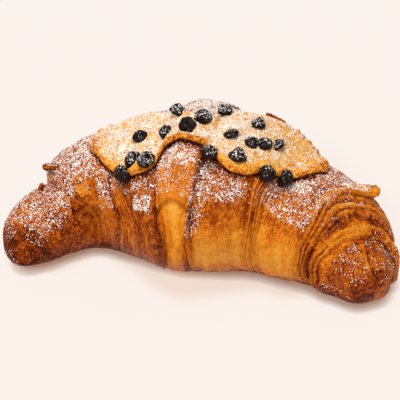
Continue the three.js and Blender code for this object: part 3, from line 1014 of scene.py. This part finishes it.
def makeChocolateMaterial(dust):
    material, tree, shader = newMaterial("darkChocolate", chocolateFinish["shader"])
    mottle = noiseOf(tree, *chocolateFinish["mottle"])
    addDust(tree, shader, dust, rampOf(tree, mottle, chocolateFinish["stops"]), chocolateFinish["sugar"])
    tree.links.new(weigh(tree, mottle, *chocolateFinish["roughness"]), shader.inputs["Roughness"])
    addBump(tree, shader, mottle, *chocolateFinish["bump"])
    return material


sugarFinish = {
    "shader": {"Roughness": 0.85, "Specular IOR Level": 0.2},
    "stops": [(0.3, (0.90, 0.80, 0.71)), (0.7, (0.98, 0.92, 0.86))],
    "flecks": (2500, 2, 0.5),
}


def makeSugarMaterial():
    material, tree, shader = newMaterial("icingSugar", sugarFinish["shader"])
    colour = rampOf(tree, noiseOf(tree, *sugarFinish["flecks"]), sugarFinish["stops"])
    tree.links.new(colour, shader.inputs["Base Color"])
    return material


floorFinish = {
    "shader": {
        "Base Color": (0.14, 0.22, 0.27, 1), "Roughness": 0.9,
        "Specular IOR Level": 0.0, "Emission Strength": 1.0,
    },
    "glow": [(0.3, (0.34, 0.18, 0.11)), (1.0, (0.80, 0.63, 0.525))],  # painted contact shadow under the croissant, and the floor's glow clear of it
    "reach": 0.005,
}


def makeFloor():
    material, tree, shader = newMaterial("paleFloor", floorFinish["shader"])
    near = addNode(tree, "ShaderNodeAmbientOcclusion", samples=16)
    setInputs(near, Distance=floorFinish["reach"])
    glow = rampOf(tree, near.outputs["AO"], floorFinish["glow"])
    tree.links.new(glow, shader.inputs["Emission Color"])  # the floor glows, with a painted contact shadow where the croissant is near
    bm = bmesh.new()
    bmesh.ops.create_grid(bm, x_segments=1, y_segments=1, size=3)
    floor = objectFrom(bm, "floor", material)


def buildPaste(material):
    rows = paste["rows"]
    columns = paste["columns"]
    start, end = paste["ends"]

    def shapeAt(row, column):
        station = lerp(start, end, (1 - math.cos(math.pi * row / rows)) / 2)
        along, closing, front, back = pasteAt(station)
        turn = 2 * math.pi * column / columns
        across = signedPower(math.cos(turn), paste["side"]) * closing
        return station, closing, front, back, across, math.sin(turn)

    def place(row, column):
        station, closing, front, back, across, rise = shapeAt(row, column)
        lumps = paste["lumps"] * math.sin(station / 3.7) * math.sin(across * 4 + station / 8)
        full = smoothThrough(paste["fullness"], station)
        skirt = paste["skirt"] * min(1, 2 * closing) * full
        crown = (paste["thickness"] + lumps) * full - skirt
        top = crown * max(0, rise) ** paste["dome"] * closing
        bottom = paste["root"] * max(0, -rise) ** 0.8 * closing
        angle = lerp(back, front, (1 + across) / 2)
        ripple = 0.5 * noise.noise(Vector((station / 3, across * 6, 7))) * max(0, rise)
        ripple += 0.3 * noise.noise(Vector((station / 1.7, across * 11, 3))) * max(0.2, rise)
        return crustPoint(station, angle, skirt + top - bottom + ripple)

    bm, spots = shapedSphere(rows, columns, place)
    bakeAndShade, sugar = layersOf(bm, "bakeAndShade", "sugar")
    base, atRim, under, uneven = paste["bakeAndShade"]
    faceOutwards(bm)
    for vert, row, column in spots:
        station, closing, front, back, across, rise = shapeAt(row, column)
        halfWidth = math.radians((front - back) / 2) * smoothThrough(dough["halfWidths"], station)
        inside = (closing - abs(across)) * halfWidth
        # the rim is baked darker, and painted shade rounds it off
        rim = 1 - smoothstep(inside, 0.4, 4) * smoothstep(closing, 0.5, 0.95)
        # painted shade on the underside, where the rim meets the crust
        low = 1 - smoothstep(rise, -0.2, 0.18)
        drift = noise.noise(vert.co / mm / 6)
        vert[bakeAndShade] = clamp(base + atRim * rim + under * low + uneven * drift)
        cover = smoothThrough(paste["sugar"], station) + 0.1 * drift
        bareRim = smoothThrough(paste["bareRim"], station) if across > 0 else paste["bareBehind"]
        cover *= smoothstep(inside, 0.2 * bareRim, bareRim) * smoothstep(closing, 0.3, 0.8)
        vert[sugar] = cover * smoothstep(vert.normal.z, 0.3, 0.6) * smoothstep(rise, 0, 0.2)
    print("paste:", len(bm.faces), "faces")
    return objectFrom(bm, "almondPasteSlab", material)


chocolate = {
    "radius": 3.45,
    "height": 4.7,
    "shoulder": 0.46,  # share of the height from which the point is drawn out or flattened
    "belly": 0.35,  # share of the height that the dents are pressed towards
    "lift": 0.6,
    "dust": (0.2, 0.16),  # on a drop of no sugar, and more with its sugar
    "profile": [
        (0.0, 0.07), (0.3, 0.06), (0.42, 0.0), (0.7, 0.0), (0.9, 0.04), (0.985, 0.12), (1.0, 0.22),
        (0.98, 0.3), (0.93, 0.38), (0.86, 0.46), (0.78, 0.54), (0.68, 0.62), (0.58, 0.7),
        (0.48, 0.77), (0.38, 0.83), (0.28, 0.89), (0.2, 0.94), (0.12, 0.98), (0.0, 1.0),
    ],
    "steps": 36,
    "dents": [(2.4, 0.6), (0.9, 0.35)],  # their size and depth, mm
}
drops = [  # station, angle, sunk, lean, turn, size, how pointed, sugar
    (-14.5, -5.5, 1.2, 20, 30, 1.05, 0.8, 0.9),
    (-7.5, 6.5, 1.2, 50, 260, 1.15, 0.1, -0.3),
    (-2, 0.5, 1.2, 15, 270, 1.1, 0.9, 0.9),
    (-29.5, 5, 1.8, 15, 200, 1, 0.3, 0.1),
    (-17.5, 8, 1.6, 25, 10, 1.1, 0.8, 0.7),
    (-32, 23, 1.5, 35, 300, 1.15, 0.5, 0.6),
    (-24.5, 27, 1.5, 20, 150, 1.15, 0.5, 0.7),
    (-37.5, 33, 1.9, 40, 220, 1.1, 0.4, 0.4),
    (4, 23, 2.2, 35, 80, 1.1, 0.7, 0.6),
    (5.5, -12, 1.8, 20, 320, 0.95, 0.5, 0.9),
    (20, -11.5, 1.4, 10, 45, 0.95, 1, 0.9),
    (11, 6, 2, 25, 120, 1.1, 0.3, 0.3),
    (20.5, 5.5, 1.7, 30, 240, 1, 0.5, 0.4),
    (25.5, 2, 1.6, 15, 10, 1, 0.6, 0.6),
    (30.5, -5, 1.6, 30, 170, 1, 0.5, 0.9),
    (17, 22, 1.6, 45, 90, 1.15, 1.1, 0.8),
    (31.5, 21, 2, 40, 280, 1.1, 0.4, 0.3),
    (39.5, 14, 2, 35, 200, 1.15, 0.4, 0.2),
]


def buildDrop(number, drop, material):
    station, angle, sunk, lean, turn, size, pointed, sugar = drop
    bm = bmesh.new()
    radius = chocolate["radius"]
    height = chocolate["height"]
    outline = [bm.verts.new((r * radius, 0, h * height)) for r, h in chocolate["profile"]]
    edges = [bm.edges.new(pair) for pair in zip(outline, outline[1:])]
    bmesh.ops.spin(
        bm, geom=outline + edges, cent=(0, 0, 0), axis=(0, 0, 1), angle=2 * math.pi,
        steps=chocolate["steps"], use_merge=True, use_duplicate=False,
    )
    bmesh.ops.remove_doubles(bm, verts=bm.verts, dist=0.001)
    shoulder = chocolate["shoulder"] * height
    belly = Vector((0, 0, chocolate["belly"] * height))
    for vert in bm.verts:
        if vert.co.z > shoulder:
            vert.co.z = shoulder + (vert.co.z - shoulder) * pointed
        dent = 0.0
        for wide, deep in chocolate["dents"]:
            dent += deep * noise.noise(vert.co / wide + Vector((number * 7, 0, wide)))
        vert.co += (vert.co - belly).normalized() * dent
    top = paste["thickness"] * smoothThrough(paste["fullness"], station)
    foot = crustPoint(station, angle, top - sunk + chocolate["lift"])
    outward = (foot - crustPoint(station, angle)).normalized()
    placed = Matrix.Translation(foot)
    placed @= Vector((0, 0, 1)).rotation_difference(outward).to_matrix().to_4x4()
    placed @= Matrix.Rotation(math.radians(turn), 4, "Z") @ Matrix.Rotation(math.radians(lean), 4, "Y")
    bmesh.ops.transform(bm, matrix=Matrix.Scale(mm, 4) @ placed @ Matrix.Scale(size, 4), verts=bm.verts)
    faceOutwards(bm)
    cover = bm.verts.layers.float.new("sugar")
    least, more = chocolate["dust"]
    for vert in bm.verts:
        vert[cover] = (least + more * sugar) * smoothstep(vert.normal.z, 0.1, 0.6)
    piece = objectFrom(bm, "chocolateDrop%02d" % number, material)
    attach(piece, "root")
    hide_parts("chocolate_drop_%02d" % number)
    return piece


# The icing sugar's grains, each an octahedron of 8 triangles.
grains = {
    "seed": 11,
    "most": 13000,
    "size": (0.15, 0.38),  # half widths, mm
    "thinnest": 0.22,  # where the sugar lies thinner than this there are no grains
    "clumps": (2.4, 0.9),  # mm
}


def buildSugar(pieces, material):
    rng = random.Random(grains["seed"])
    template = bmesh.new()
    bmesh.ops.create_uvsphere(template, u_segments=4, v_segments=2, radius=1)
    corners = [vert.co.copy() for vert in template.verts]
    sides = [[vert.index for vert in face.verts] for face in template.faces]
    template.free()
    large, small = grains["clumps"]
    spots = []
    for piece in pieces:
        mesh = piece.data
        cover = mesh.attributes["sugar"].data
        for polygon in mesh.polygons:
            thick = sum(cover[k].value for k in polygon.vertices) / len(polygon.vertices)
            up = smoothstep(polygon.normal.z, 0.15, 0.8)
            middle = polygon.center / mm
            clump = noise.noise(middle / large) + 0.6 * noise.noise(middle / small)
            weight = max(0, thick - grains["thinnest"]) * up * polygon.area
            weight *= smoothstep(clump, -0.25, 0.45)
            if weight > 1e-12:
                spots.append((weight, piece, polygon.index))
    total = sum(spot[0] for spot in spots)
    points = []
    faces = []
    for weight, piece, index in spots:
        expected = grains["most"] * weight / total
        count = int(expected) + (rng.random() < expected % 1)
        for _ in range(count):
            polygon = piece.data.polygons[index]
            shares = [rng.random() ** 1.5 for _ in polygon.vertices]
            middle = sum((piece.data.vertices[k].co * s for k, s in zip(polygon.vertices, shares)), Vector())
            middle /= sum(shares)
            size = lerp(*grains["size"], rng.random() ** 2) * mm
            middle += polygon.normal * size * 0.35
            axle = [rng.gauss(0, 1) for _ in range(3)]
            turned = Matrix.Rotation(rng.uniform(0, 6.3), 3, axle)
            first = len(points)
            squash = Matrix.Diagonal([rng.uniform(0.7, 1.3) * size for _ in range(3)])
            points += [middle + turned @ (squash @ corner) for corner in corners]
            faces += [[first + k for k in side] for side in sides]
    mesh = bpy.data.meshes.new("icingSugarGrains")
    mesh.from_pydata(points, [], faces)
    mesh.materials.append(material)
    print("sugar:", len(faces), "faces")
    return addObject("icingSugarGrains", mesh)


makeFloor()
dust = makeSugarDust()
lines = makeLayerLines()
crustMaterial = makeCrustMaterial(dust, lines)
pasteMaterial = makePasteMaterial(dust)
chocolateMaterial = makeChocolateMaterial(dust)
sugarMaterial = makeSugarMaterial()
print("materials")

crustPiece = buildCrust(crustMaterial)
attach(crustPiece, "root")
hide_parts("croissant")

pastePiece = buildPaste(pasteMaterial)
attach(pastePiece, "root")
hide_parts("almond_paste")

dropPieces = [buildDrop(k + 1, drop, chocolateMaterial) for k, drop in enumerate(drops)]
print("drops")

sugarPiece = buildSugar([crustPiece, pastePiece, *dropPieces], sugarMaterial)
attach(sugarPiece, "root")
